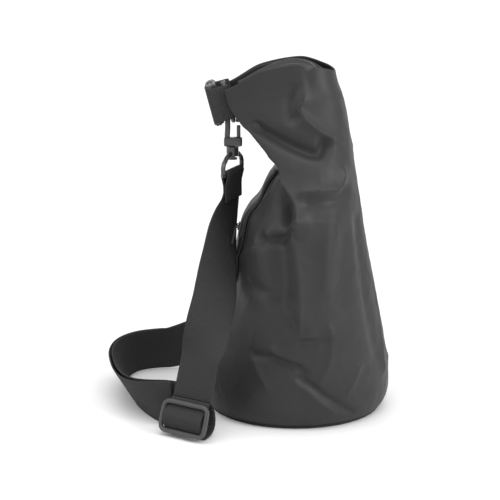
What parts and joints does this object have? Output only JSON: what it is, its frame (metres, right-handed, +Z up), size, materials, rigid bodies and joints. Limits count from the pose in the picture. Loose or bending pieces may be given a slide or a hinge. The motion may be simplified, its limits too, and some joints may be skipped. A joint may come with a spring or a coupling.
{
  "type": "roll-top storage bag",
  "caption": "Small roll-top storage bag in dark coated fabric, its rolled mouth clipped into a carrying ring, with a clip-on webbing shoulder strap",
  "frame": {"origin": "centre of the round base, on the plane the bag stands on", "axes": "+Z up, -Y front (the side where the closure clips together), +X the side of the upper hook and the adjuster"},
  "size_m": [0.2211, 0.2551, 0.3233],
  "materials": {
    "coated_fabric": "matte coated",
    "webbing": "woven, matte",
    "moulded_plastic": "satin moulded",
    "black_metal": "glossy black plate",
    "zip_tape": "coated tape",
    "stiffener": "extruded strip"
  },
  "bodies": {
    "bag": {"bag_body": "coated_fabric", "base_panel": "coated_fabric", "base_seam_tape": "coated_fabric", "rolled_mouth": "coated_fabric", "stiffener_outer": "stiffener", "stiffener_inner": "stiffener", "pocket_panel": "coated_fabric", "zip_tape": "zip_tape", "closure_tab_right": "webbing", "buckle_socket": "moulded_plastic", "anchor_patch": "coated_fabric", "anchor_loop": "webbing", "strap_front_run": "webbing", "strap_ground_run": "webbing", "strap_return_run": "webbing"},
    "buckle_plug": {"buckle_plug": "moulded_plastic", "closure_tab_left": "webbing"},
    "release_arm_top": {"release_arm_top": "moulded_plastic"},
    "release_arm_bottom": {"release_arm_bottom": "moulded_plastic"},
    "upper_ring_and_eye": {"d_ring_upper": "black_metal", "upper_hook_eye": "black_metal", "strap_upper_end": "webbing"},
    "upper_hook": {"upper_hook_body": "black_metal", "upper_hook_gate_pin": "black_metal", "upper_hook_gate_spring": "black_metal", "upper_hook_rivet_head": "black_metal"},
    "upper_gate": {"upper_hook_gate": "black_metal"},
    "lower_ring_and_eye": {"d_ring_lower": "black_metal", "lower_hook_eye": "black_metal", "strap_lower_end": "webbing"},
    "lower_hook": {"lower_hook_body": "black_metal", "lower_hook_gate_pin": "black_metal", "lower_hook_gate_spring": "black_metal", "lower_hook_rivet_head": "black_metal"},
    "lower_gate": {"lower_hook_gate": "black_metal"},
    "adjuster": {"adjuster": "moulded_plastic", "strap_adjuster_bend": "webbing", "strap_adjuster_end": "webbing"},
    "zip": {"zip_slider": "black_metal", "zip_pull": "moulded_plastic"}
  },
  "joints": [
    {"name": "buckle_unclip", "type": "slide", "parent": "bag", "child": "buckle_plug", "axis": [-1, 0, 0], "range_m": [0, 0.019]},
    {"name": "release_top", "type": "hinge", "parent": "buckle_plug", "child": "release_arm_top", "pos_m": [-0.0084, -0.0755, 0.28946], "axis": [0, 0.9659, 0.2588], "range_deg": [0, 6], "stiffness_Nm_per_rad": 0.3, "springref_deg": -2.86},
    {"name": "release_bottom", "type": "hinge", "parent": "buckle_plug", "child": "release_arm_bottom", "pos_m": [-0.0084, -0.06913, 0.2657], "axis": [0, -0.9659, -0.2588], "range_deg": [0, 6], "stiffness_Nm_per_rad": 0.3, "springref_deg": -2.86},
    {"name": "upper_ring_swing", "type": "hinge", "parent": "bag", "child": "upper_ring_and_eye", "pos_m": [0.0225, -0.06005, 0.28086], "axis": [0, 0.2588, -0.9659], "range_deg": [0, 18]},
    {"name": "upper_swivel", "type": "hinge", "parent": "upper_ring_and_eye", "child": "upper_hook", "pos_m": [0.0125, -0.05649, 0.23697], "axis": [0, 0, 1], "range_deg": [-8, 8]},
    {"name": "upper_gate_open", "type": "hinge", "parent": "upper_hook", "child": "upper_gate", "pos_m": [0.0125, -0.05109, 0.24597], "axis": [1, 0, 0], "range_deg": [0, 18], "stiffness_Nm_per_rad": 0.02, "springref_deg": -20.05},
    {"name": "lower_ring_swing", "type": "hinge", "parent": "bag", "child": "lower_ring_and_eye", "pos_m": [-0.0946, 0.002, 0.066], "axis": [0, 0.342, -0.9397], "range_deg": [0, 15]},
    {"name": "lower_swivel", "type": "hinge", "parent": "lower_ring_and_eye", "child": "lower_hook", "pos_m": [-0.0952, -0.04395, 0.04928], "axis": [0, 0.9397, 0.342], "range_deg": [-8, 8]},
    {"name": "lower_gate_open", "type": "hinge", "parent": "lower_hook", "child": "lower_gate", "pos_m": [-0.0898, -0.03549, 0.05235], "axis": [0, -0.342, 0.9397], "range_deg": [0, 18], "stiffness_Nm_per_rad": 0.02, "springref_deg": -20.05},
    {"name": "adjuster_slide", "type": "slide", "parent": "bag", "child": "adjuster", "axis": [-0.2836, 0.1913, 0.9397], "range_m": [0, 0.018]},
    {"name": "zip_run", "type": "slide", "parent": "bag", "child": "zip", "axis": [-0.1471, 0.2266, 0.9628], "range_m": [0, 0.025]}
  ]
}
